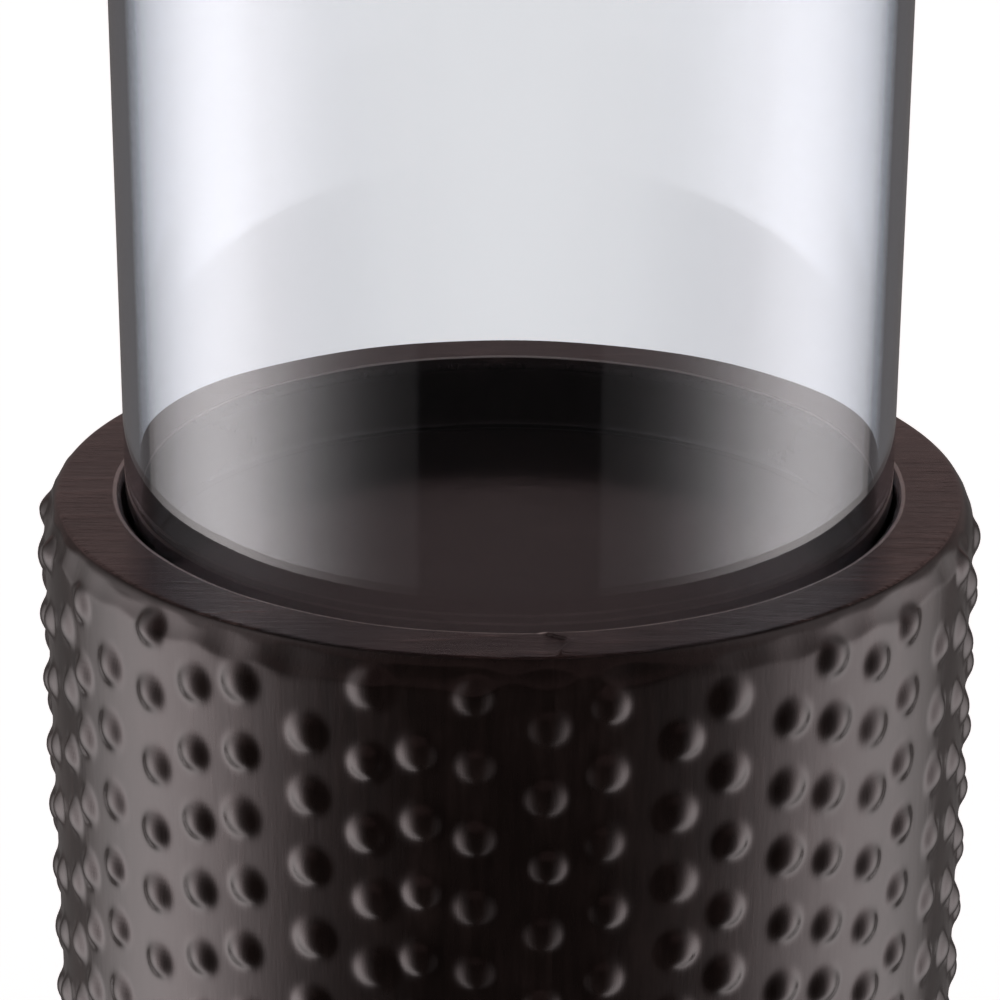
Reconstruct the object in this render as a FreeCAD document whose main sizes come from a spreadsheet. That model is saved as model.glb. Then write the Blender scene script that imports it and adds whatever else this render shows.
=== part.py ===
import FreeCAD, Part
import Sketcher
import math
import os

# Table-top garden torch: a hobnailed sheet-metal drum with a shallow candle pan let into
# its top and a loose glass chimney standing in the pan.
# Millimetres, +Z up. The origin is on the torch's axis, level with the undersides of the feet.
# The front is -Y. Azimuths are measured from the front, positive towards +X.

DIMENSIONS = [
    # alias, value, what it is
    ("drum_radius", 75.75, "outside of the drum's wall, between the hobnails"),
    ("drum_sheet", 1.0, "thickness of the drum's sheet"),
    ("drum_height", 203.2, "underside of the bottom flange to the top of the flat rim"),
    ("shoulder_radius", 6.55, "outside radius of the rolled shoulder"),
    ("shoulder_drop", 5.0, "height of the shoulder, from the wall's top to the rim"),
    ("lip_radius", 63.65, "opening in the flat rim"),
    ("bottom_bend", 2.0, "outside bend radius at the foot of the wall"),
    ("flange_radius", 58.0, "opening in the bottom flange"),
    ("seam_azimuth", 5.0, "where the ends of the drum's sheet meet, degrees"),
    ("seam_gap", 0.35, "open joint left across the flat rim"),
    ("seam_gap_depth", 10.5, "how far the open joint runs in from the opening"),
    ("strap_width", 18.0, "width of the strap behind the seam"),
    ("strap_sheet", 0.8, "thickness of the strap"),
    ("strap_inset", 9.0, "strap's clearance from the rim and the bottom flange"),
    ("pan_bore", 64.0, "inside radius of the pan's wall"),
    ("pan_sheet", 0.8, "thickness of the pan's sheet"),
    ("pan_depth", 12.7, "rim to the top of the pan's floor"),
    ("pan_flange", 71.0, "outside radius of the pan's flange, under the rim"),
    ("pan_bend", 1.0, "inside bend radius at the pan's floor"),
    ("pan_flange_bend", 1.2, "upper bend radius where the pan's wall turns out"),
    ("glass_radius", 62.5, "outside radius of the glass"),
    ("glass_wall", 2.5, "wall thickness of the glass"),
    ("glass_length", 203.2, "length of the glass"),
    ("glass_round", 0.8, "fire-polished edges of the glass"),
    ("plate_radius", 73.0, "radius of the base plate"),
    ("plate_sheet", 1.0, "thickness of the base plate"),
    ("foot_circle", 66.0, "radius of the circle of feet"),
    ("foot_radius", 7.0, "radius of a foot where it meets the base plate"),
    ("foot_height", 5.0, "height of a foot"),
    ("foot_taper", 8.0, "draft of a foot's side, degrees"),
    ("foot_round", 0.5, "rounded lower edge of a foot"),
    ("foot_bore", 3.4, "radius of the counterbore for the screw's head"),
    ("foot_bore_depth", 3.0, "depth of the counterbore"),
    ("clearance_radius", 1.7, "radius of the screw holes"),
    ("screw_radius", 1.5, "radius of the screw's shank"),
    ("screw_length", 8.0, "length of the screw under its head"),
    ("head_radius", 2.8, "radius of the screw's pan head"),
    ("head_height", 2.4, "height of the screw's head"),
    ("head_round", 1.0, "rounding of the screw's head"),
    ("recess_width", 0.8, "width of one arm of the cross recess"),
    ("recess_length", 3.2, "length across the cross recess"),
    ("recess_depth", 1.4, "depth of the cross recess"),
    ("nut_flats", 5.5, "width of the weld nut across its flats"),
    ("nut_height", 2.4, "height of the weld nut"),
    ("nut_bore", 1.55, "radius of the weld nut's bore"),
]
FEET = 4

doc = FreeCAD.newDocument("table_torch")
sheet = doc.addObject("Spreadsheet::Sheet", "dims")
for row, (alias, value, meaning) in enumerate(DIMENSIONS, start=1):
    sheet.set(f"A{row}", alias)
    sheet.set(f"B{row}", str(value))
    sheet.set(f"C{row}", meaning)
    sheet.setAlias(f"B{row}", alias)
doc.recompute()

VALUES = {alias: value for alias, value, meaning in DIMENSIONS}


def cell(formula):
    """Turn a formula in aliases into one that reads the sheet."""
    words = formula.replace("(", " ( ").replace(")", " ) ").split()
    named = " ".join(f"dims.{word}" if word in VALUES else word for word in words)
    return named.replace("sqrt (", "sqrt(")


def number(formula):
    """The present value of a formula in aliases."""
    result = sheet.evalExpression(cell(formula))
    return float(result.Value if hasattr(result, "Value") else result)


# Heights that several pieces share.
PLATE_BOTTOM = "foot_height"
DRUM_BOTTOM = "foot_height + plate_sheet"
RIM = f"{DRUM_BOTTOM} + drum_height"
PAN_FLOOR = f"{RIM} - pan_depth"
# The first foot stands at 45 degrees to the front, so its two coordinates are equal.
FOOT_ACROSS = "foot_circle / sqrt ( 2 )"


def new_body(name):
    body = doc.addObject("PartDesign::Body", name)
    body.Label = name
    return body


def new_sketch(body, name, plane="XY_Plane", height=None):
    """A sketch on one of the body's own origin planes, raised to a height if one is given."""
    sketch = body.newObject("Sketcher::SketchObject", name)
    origin_plane = [item for item in body.Origin.OriginFeatures if item.Role == plane][0]
    sketch.AttachmentSupport = [(origin_plane, "")]
    sketch.MapMode = "FlatFace"
    if height is not None:
        sketch.setExpression("AttachmentOffset.Base.z", cell(height))
        doc.recompute()
    return sketch


def bind(sketch, constraint, name, formula):
    """Add a named dimension that follows the sheet."""
    index = sketch.addConstraint(constraint)
    sketch.renameConstraint(index, name)
    sketch.setExpression(f"Constraints.{name}", cell(formula))


def add_circle(sketch, name, radius, across="0", up="0"):
    """A circle whose radius and centre follow the sheet."""
    centre = FreeCAD.Vector(number(across), number(up), 0)
    index = sketch.addGeometry(Part.Circle(centre, FreeCAD.Vector(0, 0, 1), number(radius)))
    bind(sketch, Sketcher.Constraint("Radius", index, number(radius)), name + "_radius", radius)
    for kind, formula, axis in (("DistanceX", across, "x"), ("DistanceY", up, "y")):
        if formula == "0":
            on_axis = -2 if axis == "x" else -1
            sketch.addConstraint(Sketcher.Constraint("PointOnObject", index, 3, on_axis))
        else:
            size = number(formula)
            pinned = Sketcher.Constraint(kind, -1, 1, index, 3, size)
            bind(sketch, pinned, f"{name}_{axis}", formula)


def add_profile(sketch, corners, arcs=None):
    """A closed outline through corners given as pairs of formulas. arcs maps the number of a
    side to the formula of its radius and +1 or -1 for the way it bends."""
    arcs = arcs or {}
    points = [FreeCAD.Vector(number(across), number(up), 0) for across, up in corners]
    count = len(points)
    starts = []
    ends = []
    for side, start in enumerate(points):
        end = points[(side + 1) % count]
        if side in arcs:
            radius, bend = arcs[side]
            chord = end - start
            rise = math.sqrt(number(radius) ** 2 - chord.Length ** 2 / 4)
            to_centre = FreeCAD.Vector(-chord.y, chord.x, 0).normalize() * bend
            bulge = (start + end) * 0.5 - to_centre * (number(radius) - rise)
            index = sketch.addGeometry(Part.Arc(start, bulge, end))
            # A sketch counts an arc's ends anticlockwise, whichever way it was drawn.
            flipped = bend < 0
            bind(sketch, Sketcher.Constraint("Radius", index, number(radius)),
                 f"bend_{side}", radius)
        else:
            index = sketch.addGeometry(Part.LineSegment(start, end))
            flipped = False
        starts.append((index, 2 if flipped else 1))
        ends.append((index, 1 if flipped else 2))
    for side in range(count):
        follower = starts[(side + 1) % count]
        sketch.addConstraint(Sketcher.Constraint("Coincident", *ends[side], *follower))
    for side, (across, up) in enumerate(corners):
        point = starts[side]
        for kind, formula, axis in (("DistanceX", across, "x"), ("DistanceY", up, "y")):
            if formula == "0":
                on_axis = -2 if axis == "x" else -1
                sketch.addConstraint(Sketcher.Constraint("PointOnObject", *point, on_axis))
            else:
                pinned = Sketcher.Constraint(kind, -1, 1, *point, number(formula))
                bind(sketch, pinned, f"corner_{side}_{axis}", formula)


def revolve(body, sketch, name):
    """Turn a sketch on the XZ plane right round the body's upright axis."""
    feature = body.newObject("PartDesign::Revolution", name)
    feature.Profile = sketch
    feature.ReferenceAxis = (sketch, ["V_Axis"])
    feature.Angle = 360
    return feature


def pad(body, sketch, name, length, reversed_way=False, taper=None):
    feature = body.newObject("PartDesign::Pad", name)
    feature.Profile = sketch
    feature.setExpression("Length", cell(length))
    feature.Reversed = reversed_way
    if taper:
        feature.setExpression("TaperAngle", cell(taper))
    doc.recompute()
    return feature


def pocket(body, sketch, name, length, upwards):
    """Cut a sketch out of the body, upwards or downwards from the sketch's plane."""
    before = body.Shape.Volume
    feature = body.newObject("PartDesign::Pocket", name)
    feature.Profile = sketch
    feature.setExpression("Length", cell(length))
    feature.Reversed = upwards
    doc.recompute()
    assert body.Shape.Volume < before - 1e-6, name + " removes nothing"
    return feature


def round_edges(body, name, radius, wanted):
    """Fillet the edges of the body's latest feature that the test picks out."""
    feature = body.Tip
    picked = [f"Edge{number_of}" for number_of, edge in enumerate(feature.Shape.Edges, start=1)
              if wanted(edge)]
    assert picked, name + " found no edges"
    fillet = body.newObject("PartDesign::Fillet", name)
    fillet.Base = (feature, picked)
    fillet.setExpression("Radius", cell(radius))
    doc.recompute()
    return fillet


def ring_of(body, name, originals, count):
    """Repeat features evenly round the body's upright axis."""
    upright = [item for item in body.Origin.OriginFeatures if item.Role == "Z_Axis"][0]
    pattern = body.newObject("PartDesign::PolarPattern", name)
    pattern.Originals = originals
    pattern.Axis = (upright, [""])
    pattern.Angle = 360
    pattern.Occurrences = count
    body.Tip = pattern
    doc.recompute()
    return pattern


# Drum: one sheet rolled into a tube, turned in over a rounded shoulder to a flat rim at the
# top and turned in at right angles to a flange at the bottom.
drum = new_body("drum_shell")
drum_profile = new_sketch(drum, "drum_profile", "XZ_Plane")
INNER_WALL = "drum_radius - drum_sheet"
BEND_CENTRE = "drum_radius - bottom_bend"
SHOULDER_CENTRE = "drum_radius - shoulder_radius"
CREASE = f"{SHOULDER_CENTRE} + sqrt ( shoulder_radius ^ 2 - shoulder_drop ^ 2 )"
INNER_CREASE = (f"{SHOULDER_CENTRE} + sqrt ( ( shoulder_radius - drum_sheet ) ^ 2 "
                f"- ( shoulder_drop - drum_sheet ) ^ 2 )")
add_profile(
    drum_profile,
    [
        ("flange_radius", DRUM_BOTTOM),
        (BEND_CENTRE, DRUM_BOTTOM),
        ("drum_radius", f"{DRUM_BOTTOM} + bottom_bend"),
        ("drum_radius", f"{RIM} - shoulder_drop"),
        (CREASE, RIM),
        ("lip_radius", RIM),
        ("lip_radius", f"{RIM} - drum_sheet"),
        (INNER_CREASE, f"{RIM} - drum_sheet"),
        (INNER_WALL, f"{RIM} - shoulder_drop"),
        (INNER_WALL, f"{DRUM_BOTTOM} + bottom_bend"),
        (BEND_CENTRE, f"{DRUM_BOTTOM} + drum_sheet"),
        ("flange_radius", f"{DRUM_BOTTOM} + drum_sheet"),
    ],
    {
        1: ("bottom_bend", 1),
        3: ("shoulder_radius", 1),
        7: ("shoulder_radius - drum_sheet", -1),
        9: ("bottom_bend - drum_sheet", -1),
    },
)
revolve(drum, drum_profile, "drum_revolution")
doc.recompute()

# The open joint across the flat rim. The sketch's X runs outwards at the seam's azimuth.
seam_sketch = new_sketch(drum, "seam_joint")
seam_sketch.AttachmentOffset = FreeCAD.Placement(
    FreeCAD.Vector(0, 0, number(RIM)),
    FreeCAD.Rotation(FreeCAD.Vector(0, 0, 1), number("seam_azimuth - 90")),
)
seam_sketch.setExpression("AttachmentOffset.Base.z", cell(RIM))
doc.recompute()
HALF_GAP = "seam_gap / 2"
add_profile(
    seam_sketch,
    [
        ("lip_radius - 1", f"-1 * {HALF_GAP}"),
        ("lip_radius + seam_gap_depth", f"-1 * {HALF_GAP}"),
        ("lip_radius + seam_gap_depth", HALF_GAP),
        ("lip_radius - 1", HALF_GAP),
    ],
)
pocket(drum, seam_sketch, "seam_cut", "drum_sheet * 1.6", upwards=False)

# Screw holes through the bottom flange.
drum_holes = new_sketch(drum, "drum_holes", height=DRUM_BOTTOM)
add_circle(drum_holes, "hole", "clearance_radius", FOOT_ACROSS, FOOT_ACROSS)
drum_cut = pocket(drum, drum_holes, "drum_hole_cut", "drum_sheet", upwards=True)
ring_of(drum, "drum_hole_ring", [drum_cut], FEET)

# Strap: a strip soldered inside the drum, bridging the butt joint in its wall.
strap = new_body("seam_strap")
strap_section = new_sketch(strap, "strap_section", "XZ_Plane")
add_profile(
    strap_section,
    [
        (f"{INNER_WALL} - strap_sheet", f"{DRUM_BOTTOM} + strap_inset"),
        (INNER_WALL, f"{DRUM_BOTTOM} + strap_inset"),
        (INNER_WALL, f"{RIM} - strap_inset"),
        (f"{INNER_WALL} - strap_sheet", f"{RIM} - strap_inset"),
    ],
)
strap_turn = revolve(strap, strap_section, "strap_revolution")
strap_turn.Midplane = True
strap_turn.setExpression("Angle", cell(f"strap_width / ( {INNER_WALL} ) * 180 / pi"))
strap.Placement = FreeCAD.Placement(
    FreeCAD.Vector(0, 0, 0),
    FreeCAD.Rotation(FreeCAD.Vector(0, 0, 1), number("seam_azimuth - 90")),
)
doc.recompute()

# Candle pan: a shallow dish whose flange is soldered under the flat rim.
pan = new_body("candle_pan")
pan_profile = new_sketch(pan, "pan_profile", "XZ_Plane")
UNDER_RIM = f"{RIM} - drum_sheet"
add_profile(
    pan_profile,
    [
        ("0", f"{PAN_FLOOR} - pan_sheet"),
        ("pan_bore - pan_bend", f"{PAN_FLOOR} - pan_sheet"),
        ("pan_bore + pan_sheet", f"{PAN_FLOOR} + pan_bend"),
        ("pan_bore + pan_sheet", f"{UNDER_RIM} - pan_flange_bend"),
        ("pan_bore + pan_flange_bend", f"{UNDER_RIM} - pan_sheet"),
        ("pan_flange", f"{UNDER_RIM} - pan_sheet"),
        ("pan_flange", UNDER_RIM),
        ("pan_bore + pan_flange_bend", UNDER_RIM),
        ("pan_bore", f"{UNDER_RIM} - pan_flange_bend"),
        ("pan_bore", f"{PAN_FLOOR} + pan_bend"),
        ("pan_bore - pan_bend", PAN_FLOOR),
        ("0", PAN_FLOOR),
    ],
    {
        1: ("pan_bend + pan_sheet", 1),
        3: ("pan_flange_bend - pan_sheet", -1),
        7: ("pan_flange_bend", 1),
        9: ("pan_bend", -1),
    },
)
revolve(pan, pan_profile, "pan_revolution")
doc.recompute()

# Glass chimney: a plain cut tube with fire-polished ends, standing loose in the pan.
glass = new_body("glass_chimney")
glass_section = new_sketch(glass, "glass_section", height=PAN_FLOOR)
add_circle(glass_section, "outside", "glass_radius")
add_circle(glass_section, "inside", "glass_radius - glass_wall")
pad(glass, glass_section, "glass_tube", "glass_length")
round_edges(glass, "glass_polish", "glass_round",
            lambda edge: isinstance(edge.Curve, Part.Circle))

# Base plate: a disc under the bottom flange that closes the drum.
plate = new_body("base_plate")
plate_outline = new_sketch(plate, "plate_outline", height=PLATE_BOTTOM)
add_circle(plate_outline, "edge", "plate_radius")
pad(plate, plate_outline, "plate_disc", "plate_sheet")
plate_holes = new_sketch(plate, "plate_holes", height=PLATE_BOTTOM)
add_circle(plate_holes, "hole", "clearance_radius", FOOT_ACROSS, FOOT_ACROSS)
plate_cut = pocket(plate, plate_holes, "plate_hole_cut", "plate_sheet", upwards=True)
ring_of(plate, "plate_hole_ring", [plate_cut], FEET)

# Feet: tapered rubber bumpers, counterbored from below for the screw heads.
feet = new_body("rubber_feet")
feet.AllowCompound = True
foot_top = new_sketch(feet, "foot_top", height=PLATE_BOTTOM)
add_circle(foot_top, "edge", "foot_radius", FOOT_ACROSS, FOOT_ACROSS)
foot_pad = pad(feet, foot_top, "foot_block", "foot_height", reversed_way=True,
               taper="-1 * foot_taper")
foot_rounding = round_edges(feet, "foot_rounding", "foot_round",
                            lambda edge: isinstance(edge.Curve, Part.Circle)
                            and abs(edge.Curve.Center.z) < 0.01)
foot_bore_sketch = new_sketch(feet, "foot_bore_outline")
add_circle(foot_bore_sketch, "bore", "foot_bore", FOOT_ACROSS, FOOT_ACROSS)
foot_bore = pocket(feet, foot_bore_sketch, "foot_counterbore", "foot_bore_depth", upwards=True)
foot_hole_sketch = new_sketch(feet, "foot_hole_outline")
add_circle(foot_hole_sketch, "hole", "clearance_radius", FOOT_ACROSS, FOOT_ACROSS)
foot_hole = pocket(feet, foot_hole_sketch, "foot_hole", "foot_height", upwards=True)
ring_of(feet, "foot_ring", [foot_pad, foot_rounding, foot_bore, foot_hole], FEET)

# Screws: pan heads with a cross recess, driven up through the feet.
screws = new_body("foot_screws")
screws.AllowCompound = True
head_sketch = new_sketch(screws, "head_outline", height="foot_bore_depth")
add_circle(head_sketch, "edge", "head_radius", FOOT_ACROSS, FOOT_ACROSS)
head_pad = pad(screws, head_sketch, "head", "head_height", reversed_way=True)
head_bottom = number("foot_bore_depth - head_height")
head_rounding = round_edges(screws, "head_rounding", "head_round",
                            lambda edge: isinstance(edge.Curve, Part.Circle)
                            and abs(edge.Curve.Center.z - head_bottom) < 0.01)
recess_sketch = new_sketch(screws, "recess_outline", height="foot_bore_depth - head_height")
ARM = "recess_length / 2"
HALF_WIDTH = "recess_width / 2"
cross_outline = [
    (ARM, HALF_WIDTH), (HALF_WIDTH, HALF_WIDTH), (HALF_WIDTH, ARM),
]
cross_corners = []
for quarter_turn in range(4):
    for forward, sideways in cross_outline:
        turned = [(forward, sideways), (f"-1 * {sideways}", forward),
                  (f"-1 * {forward}", f"-1 * {sideways}"), (sideways, f"-1 * {forward}")]
        across, up = turned[quarter_turn]
        cross_corners.append((f"{FOOT_ACROSS} + {across}", f"{FOOT_ACROSS} + {up}"))
add_profile(recess_sketch, cross_corners)
recess_cut = pocket(screws, recess_sketch, "recess", "recess_depth", upwards=True)
shank_sketch = new_sketch(screws, "shank_outline", height="foot_bore_depth")
add_circle(shank_sketch, "edge", "screw_radius", FOOT_ACROSS, FOOT_ACROSS)
shank_pad = pad(screws, shank_sketch, "shank", "screw_length")
ring_of(screws, "screw_ring", [head_pad, head_rounding, recess_cut, shank_pad], FEET)

# Weld nuts: plain hexagons fixed to the upper side of the bottom flange.
nuts = new_body("weld_nuts")
nuts.AllowCompound = True
nut_sketch = new_sketch(nuts, "nut_outline", height=f"{DRUM_BOTTOM} + drum_sheet")
NUT_CORNER = "nut_flats / sqrt ( 3 )"
nut_corners = [
    (f"{FOOT_ACROSS} + {NUT_CORNER} * {across}", f"{FOOT_ACROSS} + nut_flats / 2 * {up}")
    for across, up in ((1, 0), (0.5, 1), (-0.5, 1), (-1, 0), (-0.5, -1), (0.5, -1))
]
add_profile(nut_sketch, nut_corners)
add_circle(nut_sketch, "bore", "nut_bore", FOOT_ACROSS, FOOT_ACROSS)
nut_pad = pad(nuts, nut_sketch, "nut_block", "nut_height")
ring_of(nuts, "nut_ring", [nut_pad], FEET)

doc.recompute()
SUB_PARTS = {
    "drum_shell": 1,
    "seam_strap": 1,
    "candle_pan": 1,
    "glass_chimney": 1,
    "base_plate": 1,
    "rubber_feet": FEET,
    "foot_screws": FEET,
    "weld_nuts": FEET,
}
for item in doc.Objects:
    failed = [state for state in item.State if state in ("Invalid", "Error")]
    if failed:
        raise RuntimeError(f"{item.Name} is {failed}")
bodies = {item.Label: item for item in doc.Objects if item.TypeId == "PartDesign::Body"}
for node, solids in SUB_PARTS.items():
    shape = bodies[node].Shape
    if shape.isNull() or not shape.isValid():
        raise RuntimeError(f"{node} has no valid shape")
    if len(shape.Solids) != solids:
        raise RuntimeError(f"{node} has {len(shape.Solids)} solids, not {solids}")

os.makedirs("parts", exist_ok=True)
for node in SUB_PARTS:
    shape = bodies[node].Shape
    shape.exportStep(f"parts/{node}.step")
    box = shape.optimalBoundingBox(True, False)
    print(f"{node:14s} {shape.Volume:11.1f} mm3  {len(shape.Solids)} solids  "
          f"z {box.ZMin:.2f} to {box.ZMax:.2f}  r {box.XMax:.2f}")
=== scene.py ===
import math
import random

import bpy
import numpy as np
from mathutils import Matrix, Vector


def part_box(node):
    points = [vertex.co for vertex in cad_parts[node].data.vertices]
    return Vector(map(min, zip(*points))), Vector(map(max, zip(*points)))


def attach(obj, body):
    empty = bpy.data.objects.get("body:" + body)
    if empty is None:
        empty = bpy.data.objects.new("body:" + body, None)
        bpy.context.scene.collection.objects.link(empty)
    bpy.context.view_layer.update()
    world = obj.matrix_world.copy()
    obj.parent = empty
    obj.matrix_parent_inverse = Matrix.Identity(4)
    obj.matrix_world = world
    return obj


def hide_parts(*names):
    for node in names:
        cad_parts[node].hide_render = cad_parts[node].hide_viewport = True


# A tabletop garden torch: a hobnailed metal drum with a pan let into its top and a
# clear glass chimney standing in the pan. Metres, +Z up, the front is -Y. Azimuths are measured
# from the front, positive towards +X.
MM = 0.001

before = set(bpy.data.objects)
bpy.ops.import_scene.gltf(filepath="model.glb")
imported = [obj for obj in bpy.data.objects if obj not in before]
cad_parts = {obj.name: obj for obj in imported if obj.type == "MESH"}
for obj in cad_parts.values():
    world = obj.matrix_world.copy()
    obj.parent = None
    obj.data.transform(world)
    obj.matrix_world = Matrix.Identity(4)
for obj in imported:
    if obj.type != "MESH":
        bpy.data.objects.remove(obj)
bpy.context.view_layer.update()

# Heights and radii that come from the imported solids.
drum_low, drum_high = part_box("drum_shell")
_, pan_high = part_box("candle_pan")
glass_low, glass_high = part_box("glass_chimney")
RIM = drum_high.z
DRUM_FOOT = drum_low.z
PAN_FLOOR = glass_low.z

# Sizes of the solids that their boxes don't give.
DRUM_RADIUS = 75.75 * MM
DRUM_SHEET = 1.0 * MM
SHOULDER_RADIUS = 6.55 * MM
SHOULDER_DROP = 5.0 * MM
LIP_RADIUS = 63.65 * MM
BOTTOM_BEND = 2.0 * MM
FLANGE_RADIUS = 58.0 * MM
PAN_SHEET = 0.8 * MM
PAN_FLANGE = 71.0 * MM
GLASS_RADIUS = 62.5 * MM
GLASS_WALL = 2.5 * MM
GLASS_ROUND = 0.8 * MM
SEAM_AZIMUTH = math.radians(5.0)

# The look's own sizes, where it differs from the solids: the lip is rolled over and reaches
# further in, the pan is narrower, and its two bends are rounder.
LIP_BEND = 2.0 * MM
LIP_EDGE = LIP_RADIUS - 0.85 * MM
PAN_BORE = 63.0 * MM
PAN_FLOOR_BEND = 1.4 * MM
PAN_TOP_BEND = 2.0 * MM

# Hobnails: punched from inside, in columns, each column half a pitch off the last. The seed
# was picked from a great many, so that the front columns stand much as the real drum's do.
HOBNAIL_SEED = 159809
HOBNAIL_COLUMNS = 50
HOBNAIL_PITCH = 11.25 * MM
HOBNAIL_RADIUS = 3.1 * MM
HOBNAIL_HEIGHT = 1.27 * MM
HOBNAIL_FILLET = 0.26 * MM
FIRST_COLUMN = math.radians(-2.3)
FIRST_ROW_BELOW_RIM = 6.5 * MM
COLUMN_SCATTER = math.radians(1.6)
PHASE_SCATTER = 3.0 * MM
STEPS_TO_A_COLUMN = 18
WALL_STEP = 0.72 * MM

# The wall leans in from a wavering line below the rim, and the crease above it is rounded.
LEAN = math.radians(26)
LEAN_DEPTH = 4.4 * MM
LEAN_MOST = 3.0 * MM
LEAN_SOFTENING = 0.25 * MM
CREASE_BEND = 1.5 * MM

# The joint across the flat rim: a ridge of solder, one side standing higher, and a nick.
SEAM_RIDGE = 0.2 * MM
SEAM_RIDGE_WIDTH = 0.45 * MM
SEAM_STEP = 0.24 * MM
SEAM_STEP_RUN = 5.0 * MM
SEAM_STEP_EDGE = 0.25 * MM
SEAM_NICK = 0.4 * MM
SEAM_NICK_WIDTH = 0.5 * MM
SEAM_NICK_REACH = 2.2 * MM

# How far the hand-formed sheet wanders on the wall and on the flat rim.
WALL_WANDER = 0.08 * MM
RIM_WANDER = 0.07 * MM


# ---------------------------------------------------------------- outlines
def arc(centre, radius, start, end, steps):
    """Points on an arc in the (radius, height) plane, angles in degrees from outwards."""
    angles = np.radians(np.linspace(start, end, steps))
    return [(centre[0] + radius * math.cos(a), centre[1] + radius * math.sin(a)) for a in angles]


def line(start, end, steps):
    """Points on a straight run, without its last point."""
    share = np.arange(steps) / steps
    return [(start[0] + (end[0] - start[0]) * f, start[1] + (end[1] - start[1]) * f) for f in share]


def lathe(name, outline, azimuths, closed, shape=None):
    """Turn an outline of (radius, height) points round the upright axis. shape(radius, height,
    azimuth) may move the points and gets and returns arrays of outline by azimuth."""
    points = np.array(outline)
    after = np.roll(points, -1, axis=0)
    turn = (points[:, 0] * after[:, 1] - after[:, 0] * points[:, 1]).sum()
    radius = np.repeat(points[:, :1], len(azimuths), axis=1)
    height = np.repeat(points[:, 1:], len(azimuths), axis=1)
    azimuth = np.repeat(azimuths[None, :], len(points), axis=0)
    if shape:
        radius, height, azimuth = shape(radius, height, azimuth)
    across = radius * np.sin(azimuth)
    along = -radius * np.cos(azimuth)
    vertices = np.stack([across, along, height], axis=-1).reshape(-1, 3)
    rows, columns = len(points), len(azimuths)
    row_count = rows if closed else rows - 1
    row = np.arange(row_count)[:, None]
    column = np.arange(columns)[None, :]
    next_row = (row + 1) % rows
    next_column = (column + 1) % columns
    corners = [
        row * columns + column,
        row * columns + next_column,
        next_row * columns + next_column,
        next_row * columns + column,
    ]
    if turn < 0:
        corners.reverse()
    faces = np.stack(np.broadcast_arrays(*corners), axis=-1).reshape(-1, 4)
    mesh = bpy.data.meshes.new(name)
    mesh.vertices.add(len(vertices))
    mesh.vertices.foreach_set("co", vertices.ravel())
    mesh.loops.add(faces.size)
    mesh.loops.foreach_set("vertex_index", faces.ravel())
    mesh.polygons.add(len(faces))
    mesh.polygons.foreach_set("loop_start", np.arange(0, faces.size, 4))
    mesh.polygons.foreach_set("use_smooth", np.ones(len(faces), bool))
    mesh.update()
    mesh.validate()
    made = bpy.data.objects.new(name, mesh)
    bpy.context.scene.collection.objects.link(made)
    return made


def evenly(count, start=0.0):
    return start + np.arange(count) * 2 * math.pi / count


# ---------------------------------------------------------------- node helpers
def new_material(name):
    material = bpy.data.materials.new(name)
    material.use_nodes = True
    material.node_tree.nodes.clear()
    output = material.node_tree.nodes.new("ShaderNodeOutputMaterial")
    return material, material.node_tree, output


def node(tree, kind, inputs=None, **settings):
    made = tree.nodes.new(kind)
    for key, value in settings.items():
        setattr(made, key, value)
    for key, value in (inputs or {}).items():
        socket = made.inputs[key]
        if isinstance(value, bpy.types.NodeSocket):
            tree.links.new(value, socket)
        else:
            socket.default_value = value
    return made


def maths(tree, operation, *values, clamp=False):
    inputs = dict(enumerate(values))
    return node(tree, "ShaderNodeMath", inputs, operation=operation, use_clamp=clamp).outputs[0]


def noise(tree, vector, scale, detail=3.0, roughness=0.5, distortion=0.0):
    return node(
        tree, "ShaderNodeTexNoise",
        {"Vector": vector, "Scale": scale, "Detail": detail, "Roughness": roughness,
         "Distortion": distortion},
    ).outputs["Fac"]


def stretched(tree, vector, scale):
    return node(
        tree, "ShaderNodeMapping", {"Vector": vector, "Scale": scale}
    ).outputs["Vector"]


def ramp(tree, factor, stops):
    """A ramp from (position, value or colour) stops."""
    made = node(tree, "ShaderNodeValToRGB", {"Fac": factor})
    elements = made.color_ramp.elements
    while len(elements) < len(stops):
        elements.new(0.5)
    for element, (position, value) in zip(elements, stops):
        element.position = position
    for element, (position, value) in zip(elements, stops):
        colour = value if isinstance(value, tuple) else (value,) * 3
        element.color = (*colour, 1.0)
    return made.outputs["Color"]


def remap(tree, value, low, high, to_low, to_high):
    return node(
        tree, "ShaderNodeMapRange",
        {"Value": value, "From Min": low, "From Max": high, "To Min": to_low, "To Max": to_high},
    ).outputs["Result"]


# ---------------------------------------------------------------- materials
def round_the_axis(tree):
    """Coordinates that run round the torch, outwards and up, in metres, joined at the seam."""
    place = node(tree, "ShaderNodeTexCoord").outputs["Object"]
    turned = node(
        tree, "ShaderNodeMapping", {"Vector": place, "Rotation": (0, 0, -SEAM_AZIMUTH)}
    ).outputs["Vector"]
    parts = node(tree, "ShaderNodeSeparateXYZ", {"Vector": turned}).outputs
    angle = maths(tree, "ARCTAN2", parts["X"], parts["Y"])
    round_it = maths(tree, "MULTIPLY", angle, DRUM_RADIUS)
    squares = maths(
        tree, "ADD", maths(tree, "POWER", parts["X"], 2.0), maths(tree, "POWER", parts["Y"], 2.0)
    )
    outwards = maths(tree, "SQRT", squares)
    return node(
        tree, "ShaderNodeCombineXYZ", {"X": round_it, "Y": outwards, "Z": parts["Z"]}
    ).outputs["Vector"], place


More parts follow.
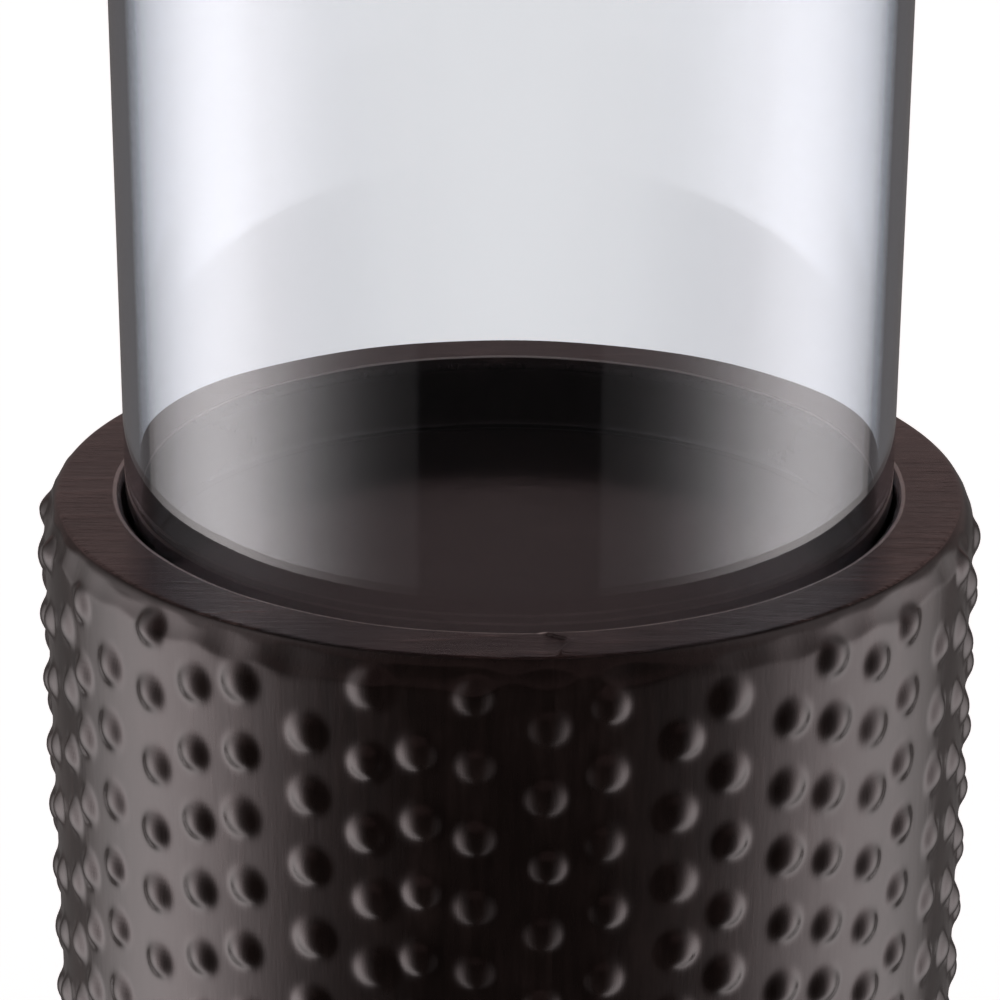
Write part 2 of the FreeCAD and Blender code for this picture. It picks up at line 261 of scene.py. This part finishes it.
def lip_highlight_mask(tree, polar, place):
    """1 along the edge of the sheet at its lip, where a painted highlight lightens the colour to
    stand in for the light the lip's edge catches.
    """
    outwards = node(tree, "ShaderNodeSeparateXYZ", {"Vector": polar}).outputs["Y"]
    wander = remap(tree, noise(tree, place, 90.0, 3.0), 0.3, 0.7, -0.05 * MM, 0.05 * MM)
    edge = maths(tree, "ADD", outwards, wander)
    inside = remap(tree, edge, LIP_EDGE + 1.05 * MM, LIP_EDGE + 1.2 * MM, 0.0, 1.0)
    outside = remap(tree, edge, LIP_EDGE + 1.62 * MM, LIP_EDGE + 1.85 * MM, 1.0, 0.0)
    return maths(tree, "MULTIPLY", inside, outside)


def bronze(name, along, across, rough, bump, shine, colours, painted_lip_highlight=False, straight=False):
    """Dark brown lacquered metal. along and across scale its hand-rubbed streaks, for a wall
    rubbed up and down. The marks of a straight one run across it, along X, not round it."""
    material, tree, output = new_material(name)
    polar, place = round_the_axis(tree)
    marks = place if straight else polar
    streaks = noise(tree, stretched(tree, marks, along), 1.0, 4.0, 0.6)
    fine = noise(tree, stretched(tree, marks, across), 1.0, 3.0, 0.55)
    clouds = noise(tree, place, 38.0, 4.0, 0.55, 0.4)
    grain = noise(tree, place, 2600.0, 2.0, 0.6)
    tone = maths(
        tree, "ADD", maths(tree, "MULTIPLY", clouds, 0.55), maths(tree, "MULTIPLY", streaks, 0.45)
    )
    colour = ramp(tree, tone, colours)
    # Painted highlight: a pale band along the lip's edge stands in for the light the edge catches.
    if painted_lip_highlight:
        colour = node(
            tree, "ShaderNodeMix",
            {"Factor": lip_highlight_mask(tree, polar, place), 6: colour, 7: (0.42, 0.37, 0.35, 1.0)},
            data_type="RGBA",
        ).outputs[2]
    mixed = maths(
        tree, "ADD", maths(tree, "MULTIPLY", fine, 0.6), maths(tree, "MULTIPLY", grain, 0.4)
    )
    roughness = remap(tree, mixed, 0.3, 0.7, rough - 0.035, rough + 0.045)
    waves = node(
        tree, "ShaderNodeBump",
        {"Height": streaks, "Strength": bump, "Distance": 0.00022},
    ).outputs["Normal"]
    scratches = node(
        tree, "ShaderNodeBump",
        {"Height": fine, "Strength": bump * 0.8, "Distance": 0.00006, "Normal": waves},
    ).outputs["Normal"]
    orange_peel = node(
        tree, "ShaderNodeBump",
        {"Height": grain, "Strength": 0.25, "Distance": 0.00001, "Normal": scratches},
    ).outputs["Normal"]
    shader = node(
        tree, "ShaderNodeBsdfPrincipled",
        {"Base Color": colour, "Roughness": roughness, "Normal": orange_peel},
    )
    shader.inputs["IOR"].default_value = 1.5
    shader.inputs["Specular IOR Level"].default_value = shine
    shader.inputs["Specular Tint"].default_value = (1.0, 0.88, 0.89, 1.0)
    tree.links.new(shader.outputs[0], output.inputs["Surface"])
    return material


# Painted shade: how much light the tube's wall passes, set in its colour by the angle it is seen at:
# clear where it is seen square on (0), veiled (darkened) where it is seen at a slant, and cooler
# towards its edge (1), standing in for the darkening a thick tube shows towards its sides.
CLEAR, PAINTED_VEIL, COOL_EDGE = (0.96, 0.98, 0.985), (0.715, 0.735, 0.755), (0.86, 0.93, 1.0)
GLASS_PAINTED_SHADE_BY_ANGLE = [(0.0, CLEAR), (0.04, CLEAR), (0.26, PAINTED_VEIL), (0.75, COOL_EDGE)]


def clear_glass(name, ground=False):
    """Clear glass, faintly blue-grey in its thickness, with the long draw lines of a tube."""
    material, tree, output = new_material(name)
    place = node(tree, "ShaderNodeTexCoord").outputs["Object"]
    draw_lines = noise(tree, stretched(tree, place, (210.0, 210.0, 1.2)), 1.0, 3.0, 0.5)
    swell = noise(tree, stretched(tree, place, (40.0, 40.0, 3.0)), 1.0, 1.0, 0.5)
    height = maths(tree, "ADD", maths(tree, "MULTIPLY", draw_lines, 0.25), swell)
    normal = node(
        tree, "ShaderNodeBump", {"Height": height, "Strength": 0.12, "Distance": 0.00005}
    ).outputs["Normal"]
    # Painted shade: the glass's colour darkens and cools with the angle it is seen at.
    facing = node(tree, "ShaderNodeLayerWeight", {"Blend": 0.5}).outputs["Facing"]
    tint = ramp(tree, facing, GLASS_PAINTED_SHADE_BY_ANGLE)
    shader = node(tree, "ShaderNodeBsdfPrincipled", {"Normal": normal, "Base Color": tint})
    shader.inputs["Roughness"].default_value = 0.5 if ground else 0.0
    shader.inputs["IOR"].default_value = 1.5
    shader.inputs["Transmission Weight"].default_value = 0.45 if ground else 1.0
    body = node(tree, "ShaderNodeVolumeAbsorption")
    body.inputs["Color"].default_value = (0.60, 0.64, 0.735, 1.0)
    body.inputs["Density"].default_value = 70.0
    tree.links.new(shader.outputs[0], output.inputs["Surface"])
    tree.links.new(body.outputs[0], output.inputs["Volume"])
    return material


def plated_steel(name, colour, rough):
    material, tree, output = new_material(name)
    place = node(tree, "ShaderNodeTexCoord").outputs["Object"]
    marks = noise(tree, stretched(tree, place, (900.0, 900.0, 160.0)), 1.0, 4.0, 0.6)
    clouds = noise(tree, place, 120.0, 3.0)
    low = tuple(part * 0.72 for part in colour)
    tone = ramp(tree, clouds, [(0.35, low), (0.7, colour)])
    roughness = remap(tree, marks, 0.3, 0.7, rough - 0.08, rough + 0.12)
    normal = node(
        tree, "ShaderNodeBump", {"Height": marks, "Strength": 0.3, "Distance": 0.00003}
    ).outputs["Normal"]
    shader = node(
        tree, "ShaderNodeBsdfPrincipled",
        {"Base Color": tone, "Roughness": roughness, "Normal": normal},
    )
    shader.inputs["Metallic"].default_value = 1.0
    tree.links.new(shader.outputs[0], output.inputs["Surface"])
    return material


def moulded_rubber(name):
    material, tree, output = new_material(name)
    place = node(tree, "ShaderNodeTexCoord").outputs["Object"]
    pores = noise(tree, place, 3200.0, 3.0, 0.65)
    dust = noise(tree, place, 260.0, 4.0, 0.6)
    tone = ramp(tree, dust, [(0.4, (0.010, 0.010, 0.011)), (0.75, (0.032, 0.031, 0.030))])
    roughness = remap(tree, pores, 0.3, 0.7, 0.62, 0.82)
    normal = node(
        tree, "ShaderNodeBump", {"Height": pores, "Strength": 0.5, "Distance": 0.00004}
    ).outputs["Normal"]
    shader = node(
        tree, "ShaderNodeBsdfPrincipled",
        {"Base Color": tone, "Roughness": roughness, "Normal": normal},
    )
    tree.links.new(shader.outputs[0], output.inputs["Surface"])
    return material


WALL_STREAKS = ((520.0, 520.0, 75.0), (2600.0, 2600.0, 240.0))
FLAT_STREAKS = ((90.0, 620.0, 400.0), (300.0, 3600.0, 900.0))
# The pan's marks have no direction.
PAN_MARKS = ((150, 150, 150), (700, 700, 700))
# (tone, colour): in the hollows of its clouds and streaks, between, and where it is rubbed.
DARK_BROWN = [
    (0.36, (0.0075, 0.0052, 0.0045)), (0.52, (0.013, 0.0088, 0.0078)), (0.68, (0.024, 0.0165, 0.015)),
]
BROWN = [
    (0.36, (0.0075, 0.0042, 0.0038)), (0.52, (0.013, 0.0078, 0.007)), (0.68, (0.023, 0.0145, 0.013)),
]
RUBBED_BROWN = [
    (0.42, (0.003, 0.0016, 0.0014)), (0.51, (0.017, 0.0095, 0.0085)), (0.6, (0.052, 0.033, 0.03)),
]
bronze_wall = bronze(
    "bronze_wall", *WALL_STREAKS, rough=0.18, bump=0.14, shine=0.33, colours=DARK_BROWN
)
# The rim gets a painted highlight along its lip.
bronze_rim = bronze(
    "bronze_rim", *FLAT_STREAKS, rough=0.2, bump=1.0, shine=0.37, colours=RUBBED_BROWN, painted_lip_highlight=True,
    straight=True,
)
bronze_pan = bronze(
    "bronze_pan", *PAN_MARKS, rough=0.2, bump=0.5, shine=0.18, colours=BROWN, straight=True
)
bronze_plate = bronze(
    "bronze_plate", *FLAT_STREAKS, rough=0.36, bump=0.4, shine=0.37, colours=BROWN
)


def finish_piece(piece, body, materials, replaced):
    for material in materials:
        piece.data.materials.append(material)
    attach(piece, body)
    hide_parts(replaced)


# ---------------------------------------------------------------- the drum
def hobnails():
    """(azimuth, depth below the rim, spread, height) of each hobnail."""
    draw = random.Random(HOBNAIL_SEED)
    columns = [
        (draw.uniform(-COLUMN_SCATTER, COLUMN_SCATTER), draw.uniform(-PHASE_SCATTER, PHASE_SCATTER))
        for _ in range(HOBNAIL_COLUMNS)
    ]
    deepest = RIM - DRUM_FOOT - BOTTOM_BEND - HOBNAIL_RADIUS
    found = []
    for number, (turn, phase) in enumerate(columns):
        azimuth = FIRST_COLUMN + turn + number * 2 * math.pi / HOBNAIL_COLUMNS
        depth = FIRST_ROW_BELOW_RIM + phase + (HOBNAIL_PITCH / 2 if number % 2 else 0.0)
        while depth < deepest:
            found.append((
                azimuth + math.radians(draw.uniform(-0.4, 0.4)),
                depth + draw.uniform(-0.5, 0.5) * MM,
                HOBNAIL_RADIUS * draw.uniform(0.94, 1.06),
                HOBNAIL_HEIGHT * draw.uniform(0.88, 1.08),
            ))
            depth += HOBNAIL_PITCH * draw.uniform(0.97, 1.03)
    return found


def ripple(azimuth, seed, waves):
    """A smooth random curve round the drum, about -1 to 1."""
    draw = random.Random(seed)
    total = np.zeros_like(azimuth)
    for wave in waves:
        total += math.sqrt(1 / len(waves)) * np.sin(
            wave * azimuth + draw.uniform(0, 2 * math.pi)
        ) * draw.uniform(0.6, 1.2)
    return total


def drum_outline():
    """The sheet's section: outside from the lip to the bottom flange, then back inside. Also
    how many of its points are the outside."""
    centre = (DRUM_RADIUS - SHOULDER_RADIUS, RIM - SHOULDER_DROP)
    # The rounded crease is an arc that touches the flat rim from below and the shoulder
    # from inside.
    inner_radius = SHOULDER_RADIUS - CREASE_BEND
    crease_height = SHOULDER_DROP - CREASE_BEND
    crease_across = math.sqrt(inner_radius ** 2 - crease_height ** 2)
    crease = (centre[0] + crease_across, RIM - CREASE_BEND)
    shoulder_start = math.degrees(math.atan2(crease_height, crease_across))
    outline = []
    lip = (LIP_EDGE + LIP_BEND, RIM - LIP_BEND)
    outline += arc(lip, LIP_BEND, 180, 90, 16)
    outline += line((lip[0], RIM), (crease[0], RIM), 34)[1:]
    outline += arc(crease, CREASE_BEND, 90, shoulder_start, 9)
    outline += arc(centre, SHOULDER_RADIUS, shoulder_start, 0, 14)[1:]
    wall_top = RIM - SHOULDER_DROP
    wall_foot = DRUM_FOOT + BOTTOM_BEND
    steps = round((wall_top - wall_foot) / WALL_STEP)
    outline += line((DRUM_RADIUS, wall_top), (DRUM_RADIUS, wall_foot), steps)[1:]
    outline += arc((DRUM_RADIUS - BOTTOM_BEND, wall_foot), BOTTOM_BEND, 0, -90, 8)
    outline.append((FLANGE_RADIUS, DRUM_FOOT))
    outside = len(outline)
    outline.append((FLANGE_RADIUS, DRUM_FOOT + DRUM_SHEET))
    bend = BOTTOM_BEND - DRUM_SHEET
    outline += arc((DRUM_RADIUS - BOTTOM_BEND, wall_foot), bend, -90, 0, 5)
    inside = DRUM_RADIUS - DRUM_SHEET
    outline += line((inside, wall_foot), (inside, wall_top), 8)[1:]
    inside_shoulder = SHOULDER_RADIUS - DRUM_SHEET
    inside_start = math.degrees(math.asin((SHOULDER_DROP - DRUM_SHEET) / inside_shoulder))
    outline += arc(centre, inside_shoulder, 0, inside_start, 5)
    outline += arc(lip, LIP_BEND - DRUM_SHEET, 90, 180, 5)
    return outline, outside


def drum_azimuths():
    """Even steps, and finer ones across the seam."""
    count = HOBNAIL_COLUMNS * STEPS_TO_A_COLUMN
    azimuths = list(evenly(count, -math.pi))
    first, last = SEAM_AZIMUTH - math.radians(3.0), SEAM_AZIMUTH + math.radians(4.4)
    kept = [a for a in azimuths if not first <= a <= last]
    return np.array(sorted(kept + list(np.linspace(first, last, 95))))


def seam_line(radius):
    """Where the joint runs across the flat rim: out, kicked to one side, and back."""
    share = (radius - LIP_RADIUS) / (DRUM_RADIUS - SHOULDER_DROP / 2 - LIP_RADIUS)
    kick = np.interp(share, [0.0, 0.2, 0.38, 0.5, 0.8, 1.0], [-1.6, 0.6, 2.4, 2.4, 1.0, 0.6])
    return SEAM_AZIMUTH + np.radians(kick)


def shape_drum(outside):
    def shape(radius, height, azimuth):
        below_rim = RIM - height
        is_outside = np.zeros_like(radius, bool)
        is_outside[:outside] = True
        section = np.stack([radius[:, 0], height[:, 0]], axis=-1)
        along = np.roll(section, -1, axis=0) - np.roll(section, 1, axis=0)
        along /= np.linalg.norm(along, axis=1, keepdims=True)
        out_r, out_z = -along[:, 1:2], along[:, 0:1]
        # Distance down the wall, measured along the sheet so that it carries on over the
        # shoulder, and equal to the depth below the rim on the wall.
        step = np.linalg.norm(np.diff(section, axis=0), axis=1)
        travelled = np.concatenate([[0], np.cumsum(step)])
        wall_row = int(np.argmax(section[:, 0] >= DRUM_RADIUS - 1e-7))
        depth = travelled - travelled[wall_row] + SHOULDER_DROP
        lift = np.zeros_like(radius)
        columns = azimuth[0]
        for turn, down, wide, high in hobnails():
            reach = 1.6 * wide
            rows = np.nonzero((np.abs(depth - down) < reach) & is_outside[:, 0])[0]
            off = (columns - turn + math.pi) % (2 * math.pi) - math.pi
            near = np.nonzero(np.abs(off) * DRUM_RADIUS < reach)[0]
            if not len(rows) or not len(near):
                continue
            distance = np.hypot(
                (depth[rows] - down)[:, None], (off[near] * DRUM_RADIUS)[None, :]
            )
            # A cap of a ball whose foot runs out into the sheet.
            cap = high * (1 - (distance / wide) ** 2) / HOBNAIL_FILLET
            dome = HOBNAIL_FILLET * np.logaddexp(0, cap)
            lift[np.ix_(rows, near)] += dome
        # Hand forming: the sheet wanders by a tenth of a millimetre or so.
        broad = ripple(azimuth, 5, (2, 3, 5)) * np.sin(below_rim * 45 + azimuth * 3) * WALL_WANDER
        on_wall = is_outside & (depth[:, None] > 0.6 * MM)
        # The wall leans in from a wavering line a few millimetres below the rim.
        lean_from = LEAN_DEPTH + 0.9 * MM * ripple(azimuth, 11, (2, 3, 5))
        lean_from = lean_from + 0.55 * MM * ripple(azimuth, 17, (19, 29, 37, 47))
        past = np.clip(lean_from, 2.0 * MM, 7.0 * MM) - below_rim
        lean = math.tan(LEAN) * (past + np.sqrt(past ** 2 + LEAN_SOFTENING ** 2)) / 2
        lean = LEAN_MOST * (1 - np.exp(-lean / LEAN_MOST))
        rounded = DRUM_RADIUS - radius
        more = np.maximum(lean - rounded, 0)
        lift = lift + np.where(on_wall, broad - more * 0.95, 0.0)
        radius = radius + out_r * lift
        height = height + out_z * lift
        # The flat rim: nearly flat, dressed by hand, with a step across the joint.
        on_rim = is_outside & (below_rim < 1.2 * MM) & (radius < DRUM_RADIUS - 1.5 * MM)
        rim_wave = ripple(azimuth, 29, (3, 5, 9, 14)) * RIM_WANDER
        past_seam = (azimuth - seam_line(radius)) * radius
        ridge = SEAM_RIDGE * np.exp(-(past_seam / SEAM_RIDGE_WIDTH) ** 2)
        step_up = SEAM_STEP * np.exp(-np.maximum(past_seam, 0) / SEAM_STEP_RUN)
        step_up = step_up * np.exp(np.minimum(past_seam, 0) / SEAM_STEP_EDGE)
        at_lip = radius < LIP_EDGE + SEAM_NICK_REACH
        dent = -SEAM_NICK * np.exp(-(past_seam / SEAM_NICK_WIDTH) ** 2)
        nick = np.where(at_lip, dent, 0.0)
        fade = np.clip((DRUM_RADIUS - 2.6 * MM - radius) / (1.6 * MM), 0, 1)
        height = height + np.where(on_rim, rim_wave + (ridge + step_up) * fade + nick, 0.0)
        return radius, height, azimuth
    return shape


outline, outside_points = drum_outline()
drum = lathe("drum", outline, drum_azimuths(), closed=True, shape=shape_drum(outside_points))
finish_piece(drum, "base", [bronze_wall, bronze_rim], "drum_shell")
flat_part = RIM - 0.9 * MM
for face in drum.data.polygons:
    if face.center.z > flat_part and face.center.xy.length < DRUM_RADIUS - 2.2 * MM:
        face.material_index = 1


# ---------------------------------------------------------------- the pan
def pan_outline():
    top = pan_high.z
    bend = PAN_TOP_BEND
    thin = bend - PAN_SHEET
    floor_bend = (PAN_BORE - PAN_FLOOR_BEND, PAN_FLOOR + PAN_FLOOR_BEND)
    under = PAN_FLOOR - PAN_SHEET
    outline = [(0.02 * MM, PAN_FLOOR), (0.08 * MM, PAN_FLOOR)]
    outline += line((2 * MM, PAN_FLOOR), (PAN_BORE - PAN_FLOOR_BEND, PAN_FLOOR), 40)
    outline += arc(floor_bend, PAN_FLOOR_BEND, -90, 0, 7)
    outline += line((PAN_BORE, PAN_FLOOR + PAN_FLOOR_BEND), (PAN_BORE, top - bend), 10)[1:]
    outline += arc((PAN_BORE + bend, top - bend), bend, 180, 90, 7)
    outline += [(PAN_FLANGE, top), (PAN_FLANGE, top - PAN_SHEET)]
    outline += arc((PAN_BORE + bend, top - bend), thin, 90, 180, 4)
    outline += arc(floor_bend, PAN_FLOOR_BEND + PAN_SHEET, 0, -90, 6)
    outline += [(0.02 * MM, under)]
    return outline


def shape_pan(radius, height, azimuth):
    """A spun sheet: the floor dips a little towards its middle."""
    floor = (height < PAN_FLOOR + 0.1 * MM) & (radius < 50 * MM)
    dip = -0.12 * MM * (1 - (radius / (50 * MM)) ** 2)
    return radius, height + np.where(floor, dip, 0.0), azimuth


pan = lathe("pan", pan_outline(), evenly(360), closed=True, shape=shape_pan)
finish_piece(pan, "base", [bronze_pan], "candle_pan")


# ---------------------------------------------------------------- the glass
def glass_outline():
    inner, outer = GLASS_RADIUS - GLASS_WALL, GLASS_RADIUS
    low = PAN_FLOOR + 0.03 * MM
    high = glass_high.z
    edge = GLASS_ROUND
    # Short rows beside each rounded edge keep the long walls' shading straight.
    heights = [low + edge + 0.05 * MM, low + edge + 0.3 * MM]
    heights += list(np.linspace(low + 4 * MM, high - 4 * MM, 60))
    heights += [high - edge - 0.3 * MM, high - edge - 0.05 * MM]
    outline = arc((outer - edge, low + edge), edge, -90, 0, 9)
    outline += [(outer, z) for z in heights]
    outline += arc((outer - edge, high - edge), edge, 0, 90, 9)
    outline += arc((inner + edge, high - edge), edge, 90, 180, 9)
    outline += [(inner, z) for z in reversed(heights)]
    outline += arc((inner + edge, low + edge), edge, 180, 270, 9)
    return outline


glass = lathe("chimney_glass", glass_outline(), evenly(720), closed=True)
finish_piece(glass, "chimney", [
    clear_glass("chimney_clear"), clear_glass("chimney_ground_end", ground=True),
], "glass_chimney")
# The two ends are ground: a dull band on the flat between the rounded edges.
for face in glass.data.polygons:
    if abs(face.normal.z) > 0.9:
        face.material_index = 1


# ---------------------------------------------------------------- pieces kept from the solids
KEPT = {
    "base_plate": bronze_plate,
    "seam_strap": plated_steel("bare_strip", (0.36, 0.34, 0.32), 0.4),
    "foot_screws": plated_steel("zinc_plate", (0.62, 0.63, 0.66), 0.28),
    "weld_nuts": plated_steel("zinc_nut", (0.58, 0.59, 0.62), 0.34),
    "rubber_feet": moulded_rubber("moulded_rubber"),
}
for kept_name, kept_material in KEPT.items():
    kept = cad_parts[kept_name]
    kept.data.materials.clear()
    kept.data.materials.append(kept_material)


# ---------------------------------------------------------------- floor and light
FLOOR_HALF = 12.0


def looked_at(tree):
    """1 for what is looked at directly or straight through the glass, 0 for what lights the
    torch or shows in a reflection."""
    path = node(tree, "ShaderNodeLightPath").outputs
    bounces = maths(tree, "ADD", path["Glossy Depth"], path["Diffuse Depth"])
    straight = maths(tree, "LESS_THAN", bounces, 0.5)
    through = maths(tree, "MULTIPLY", path["Is Transmission Ray"], straight)
    return maths(tree, "MAXIMUM", path["Is Camera Ray"], through)


def pale_floor():
    mesh = bpy.data.meshes.new("floor")
    half = FLOOR_HALF
    corners = [(-half, -half, 0), (half, -half, 0), (half, half, 0), (-half, half, 0)]
    mesh.from_pydata(corners, [], [(0, 1, 2, 3)])
    made = bpy.data.objects.new("floor", mesh)
    bpy.context.scene.collection.objects.link(made)
    made.location.z = -0.0002
    material, tree, output = new_material("pale_floor")
    shader = node(tree, "ShaderNodeBsdfPrincipled")
    shader.inputs["Base Color"].default_value = (0.82, 0.82, 0.82, 1.0)
    shader.inputs["Roughness"].default_value = 0.9
    shader.inputs["Specular IOR Level"].default_value = 0.0
    shader.inputs["Emission Color"].default_value = (1.0, 1.0, 1.0, 1.0)
    shader.inputs["Emission Strength"].default_value = 0.7
    nothing = node(tree, "ShaderNodeBsdfTransparent")
    surface = node(
        tree, "ShaderNodeMixShader",
        {"Fac": looked_at(tree), 1: nothing.outputs[0], 2: shader.outputs[0]},
    )
    tree.links.new(surface.outputs[0], output.inputs["Surface"])
    made.data.materials.append(material)
    made.visible_glossy = False
    made.visible_diffuse = False
    made.visible_shadow = False


pale_floor()

# The studio is a procedural sky: a tall bright panel on each side of the torch, nothing in
# front, and a low dim one behind. Only what is looked at directly or straight through the
# glass is white.
# Each side panel is brightest at its middle and fades like a bell to its two edges:
# (brightness, middle, spread), in degrees from the front.
LEFT_PANEL = (4.2, 88.5, 28.0)
RIGHT_PANEL = (3.4, 91.0, 29.0)
PANEL_FRONT_EDGE = 26.5
PANEL_BACK_EDGE = 132.0
PANEL_EDGE_SOFTNESS = 0.5
# The even light in front of the panels, between their edges, and behind them.
EVEN_LIGHT = (0.03, 0.1, 0.15)
# They are strongest a little below the horizon, over a low share that ends high up. Heights
# are the sine of the angle above the horizon.
PANEL_MIDDLE_HEIGHT = -0.32
PANEL_HEIGHT_SPREAD = 0.55
PANEL_LOW_SHARE = 0.28
PANEL_TOP = (0.75, 0.97)
PANEL_TOP_SHARE = 0.15
# The dim, warm light behind and, higher up, in front: (degrees above the horizon, brightness).
HIGH_BACK_HEIGHT = [
    (-5, 0.0), (0, 0.15), (18, 0.25), (20.5, 0.25), (24, 0.68), (28, 0.55), (36, 0.2), (52, 0.06),
]
FRONT_HAZE_HEIGHT = [(12, 0.0), (24, 0.2), (60, 0.16), (90, 0.05)]
WARM = (1.0, 0.68, 0.66)
# The side panels' hue, by the share of the way round from the front to the back.
PANEL_HUES = [(0.0, (1.0, 0.94, 0.945)), (0.64, (1.0, 0.94, 0.94)), (0.78, (1.0, 0.92, 0.91))]


def by_height(tree, height, stops):
    share = maths(tree, "MULTIPLY_ADD", height, 0.5, 0.5)
    return ramp(tree, share, [(0.5 + 0.5 * math.sin(math.radians(up)), v) for up, v in stops])


def bell(tree, value, middle, spread):
    """1 where value is the middle, falling off evenly on both sides of it."""
    off = maths(tree, "DIVIDE", maths(tree, "SUBTRACT", value, middle), spread)
    square = maths(tree, "MULTIPLY", off, off)
    return maths(tree, "EXPONENT", maths(tree, "MULTIPLY", square, -1.0))


def side_panels(tree, parts, azimuth, share):
    """The light of the two side panels and the even light round them."""
    front_edge, back_edge = PANEL_FRONT_EDGE / 180, PANEL_BACK_EDGE / 180
    soft = PANEL_EDGE_SOFTNESS / 180
    panels = []
    for brightness, middle, spread in (LEFT_PANEL, RIGHT_PANEL):
        shape = bell(tree, azimuth, math.radians(middle), math.radians(spread))
        panels.append(maths(tree, "MULTIPLY", shape, brightness))
    left, right = panels
    on_left = maths(tree, "LESS_THAN", parts["X"], 0.0)
    panel = node(
        tree, "ShaderNodeMix", {"Factor": on_left, 2: right, 3: left}, data_type="FLOAT"
    ).outputs[0]
    lit = ramp(tree, share, [
        (front_edge - soft, 0.0), (front_edge + soft, 1.0),
        (back_edge - 2 * soft, 1.0), (back_edge + 2 * soft, 0.0),
    ])
    even = ramp(tree, share, [
        (front_edge - soft, EVEN_LIGHT[0]), (front_edge + soft, EVEN_LIGHT[1]),
        (back_edge - 2 * soft, EVEN_LIGHT[1]), (back_edge + 2 * soft, EVEN_LIGHT[2]),
    ])
    light = maths(tree, "ADD", maths(tree, "MULTIPLY", panel, lit), even)
    bulge = bell(tree, parts["Z"], PANEL_MIDDLE_HEIGHT, PANEL_HEIGHT_SPREAD)
    upright = maths(tree, "MULTIPLY_ADD", bulge, 1 - PANEL_LOW_SHARE, PANEL_LOW_SHARE)
    top = remap(tree, parts["Z"], *PANEL_TOP, 1.0, PANEL_TOP_SHARE)
    return maths(tree, "MULTIPLY", light, maths(tree, "MULTIPLY", upright, top))


def studio():
    world = bpy.data.worlds.new("studio")
    bpy.context.scene.world = world
    world.use_nodes = True
    tree = world.node_tree
    tree.nodes.clear()
    output = node(tree, "ShaderNodeOutputWorld")
    direction = node(tree, "ShaderNodeTexCoord").outputs["Generated"]
    parts = node(tree, "ShaderNodeSeparateXYZ", {"Vector": direction}).outputs
    minus_y = maths(tree, "MULTIPLY", parts["Y"], -1.0)
    azimuth = maths(tree, "ABSOLUTE", maths(tree, "ARCTAN2", parts["X"], minus_y))
    share = maths(tree, "DIVIDE", azimuth, math.pi)
    side = side_panels(tree, parts, azimuth, share)
    behind = ramp(tree, share, [(0.0, 0.0), (0.7, 0.0), (0.8, 1.0), (1.0, 1.0)])
    high_back = maths(tree, "MULTIPLY", behind, by_height(tree, parts["Z"], HIGH_BACK_HEIGHT))
    in_front = ramp(tree, share, [(0.0, 1.0), (0.3, 1.0), (0.5, 0.0)])
    haze = maths(tree, "MULTIPLY", in_front, by_height(tree, parts["Z"], FRONT_HAZE_HEIGHT))
    warm = maths(tree, "ADD", high_back, haze)
    seen = looked_at(tree)
    cool = node(
        tree, "ShaderNodeMix", {"Factor": seen, 2: side, 3: 1.0}, data_type="FLOAT"
    ).outputs[0]
    warm = maths(tree, "MULTIPLY", warm, maths(tree, "SUBTRACT", 1.0, seen))
    # The side panels' light is a little warmer where it comes from behind.
    hue = ramp(tree, share, PANEL_HUES)
    hue = node(
        tree, "ShaderNodeMix", {"Factor": seen, 6: hue, 7: (1.0, 1.0, 1.0, 1.0)},
        data_type="RGBA",
    ).outputs[2]
    background = node(tree, "ShaderNodeBackground", {"Color": hue, "Strength": cool})
    reflector = node(tree, "ShaderNodeBackground", {"Strength": warm})
    reflector.inputs["Color"].default_value = (*WARM, 1.0)
    both = node(tree, "ShaderNodeAddShader", {0: background.outputs[0], 1: reflector.outputs[0]})
    tree.links.new(both.outputs[0], output.inputs["Surface"])


studio()

# ---------------------------------------------------------------- camera
CAMERA_ACROSS = -1.45 * MM
CAMERA_BACK = 552.96 * MM
CAMERA_ABOVE_RIM = 208.46 * MM
CAMERA_DOWN = math.radians(20.9957)
CAMERA_ROLL = math.radians(0.229)
CAMERA_LENS = 130.0
SENSOR_WIDTH = 36.0

camera_data = bpy.data.cameras.new("camera")
camera_data.sensor_width = SENSOR_WIDTH
camera_data.lens = CAMERA_LENS
camera = bpy.data.objects.new("camera", camera_data)
bpy.context.scene.collection.objects.link(camera)
camera.matrix_world = (
    Matrix.Translation(Vector((CAMERA_ACROSS, -CAMERA_BACK, RIM + CAMERA_ABOVE_RIM)))
    @ Matrix.Rotation(math.pi / 2 - CAMERA_DOWN, 4, "X")
    @ Matrix.Rotation(CAMERA_ROLL, 4, "Z")
)
bpy.context.scene.camera = camera
bpy.context.scene.view_settings.view_transform = "Standard"
